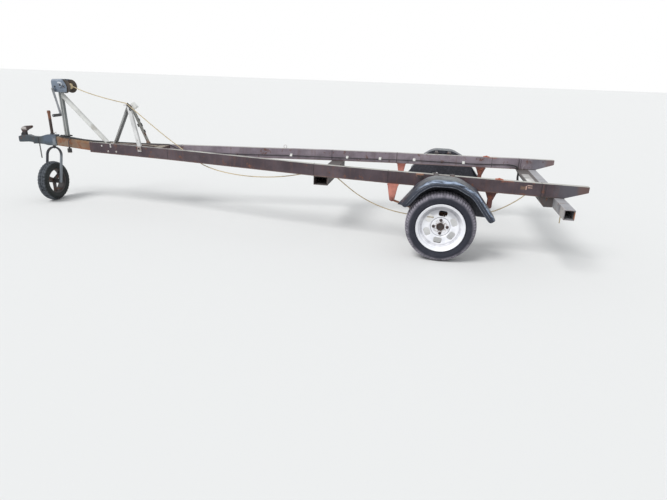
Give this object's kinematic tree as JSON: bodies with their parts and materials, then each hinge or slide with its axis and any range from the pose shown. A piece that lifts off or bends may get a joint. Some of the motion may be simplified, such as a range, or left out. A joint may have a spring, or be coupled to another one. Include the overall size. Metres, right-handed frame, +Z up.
{
  "type": "boat trailer",
  "caption": "Single-axle steel boat trailer with a winch post, bow stop tripod, mudguards and jockey wheel.",
  "frame": {"origin": "on the ground, at about the middle of the trailer's length and in the middle of its width", "axes": "+X towards the tail, +Z up, -Y the trailer's left side, where the winch crank is"},
  "size_m": [5.633, 2, 1.256],
  "materials": {
    "rail_steel": "worn dark paint with rust",
    "rusty_steel": "orange-brown rust",
    "coupler_paint": "dark blue-grey paint",
    "galvanised": "dull zinc",
    "grey_beam": "weathered light grey",
    "red_oxide": "red oxide primer with rust",
    "spring_steel": "rusty",
    "guard_paint": "glossy navy black",
    "wheel_silver": "silver paint",
    "tyre": "dusty rubber",
    "winch_paint": "blue-grey paint",
    "black_plastic": "matte",
    "rope": "twisted fibre",
    "cable": "matte",
    "pad": "white rubber"
  },
  "bodies": {
    "root": {"rail_left": "rail_steel", "rail_right": "rail_steel", "drawbar": "rusty_steel", "front_cross_member": "rail_steel", "rear_cross_member": "rail_steel", "rear_beam": "grey_beam", "coupler": "coupler_paint", "coupler_lever": "rusty_steel", "safety_chain": "spring_steel", "jockey_sleeve": "spring_steel", "winch_post": "galvanised", "winch_brace": "galvanised", "bow_leg_front": "galvanised", "bow_leg_left": "galvanised", "bow_leg_right": "galvanised", "bow_stop": "pad", "winch_frame": "winch_paint", "axle": "spring_steel", "spring_left": "spring_steel", "spring_right": "spring_steel", "hanger_front_left": "red_oxide", "hanger_front_right": "red_oxide", "hanger_rear_left": "red_oxide", "hanger_rear_right": "red_oxide", "mudguard_left": "guard_paint", "mudguard_right": "guard_paint", "mudguard_brackets_left": "red_oxide", "mudguard_brackets_right": "red_oxide", "lighting_cable": "cable", "winch_rope": "rope", "plug_lead": "cable", "trailer_plug": "black_plastic"},
    "wheel_left": {"hub_left": "spring_steel", "rim_left": "wheel_silver", "tyre_left": "tyre"},
    "wheel_right": {"hub_right": "spring_steel", "rim_right": "wheel_silver", "tyre_right": "tyre"},
    "jockey_stem": {"jockey_stem": "spring_steel"},
    "jockey_fork": {"jockey_fork": "winch_paint"},
    "jockey_wheel": {"jockey_rim": "spring_steel", "jockey_tyre": "tyre"},
    "winch_drum": {"winch_drum": "spring_steel"},
    "winch_crank": {"winch_crank": "winch_paint"}
  },
  "joints": [
    {"name": "wheel_left_spin", "type": "hinge", "parent": "root", "child": "wheel_left", "pos_m": [1.735, -0.803, 0.281], "axis": [0, -1, 0], "continuous": true},
    {"name": "wheel_right_spin", "type": "hinge", "parent": "root", "child": "wheel_right", "pos_m": [1.735, 0.803, 0.281], "axis": [0, -1, 0], "continuous": true},
    {"name": "jockey_raise", "type": "slide", "parent": "root", "child": "jockey_stem", "axis": [0, 0, 1], "range_m": [-0.2, 0]},
    {"name": "jockey_swivel", "type": "hinge", "parent": "jockey_stem", "child": "jockey_fork", "pos_m": [-2.385, 0, 0.562], "axis": [0, 0, 1], "continuous": true},
    {"name": "jockey_wheel_spin", "type": "hinge", "parent": "jockey_fork", "child": "jockey_wheel", "pos_m": [-2.38186, -0.08995, 0.2075], "axis": [0.9994, 0.0349, 0], "continuous": true},
    {"name": "drum_spin", "type": "hinge", "parent": "root", "child": "winch_drum", "pos_m": [-2.108, 0, 1.187], "axis": [0, -1, 0], "continuous": true},
    {"name": "crank_spin", "type": "hinge", "parent": "root", "child": "winch_crank", "pos_m": [-2.224, 0, 1.16], "axis": [0, -1, 0], "continuous": true}
  ],
  "couplings": [
    {"joint": "crank_spin", "follows": "drum_spin", "ratio": -3.75}
  ]
}
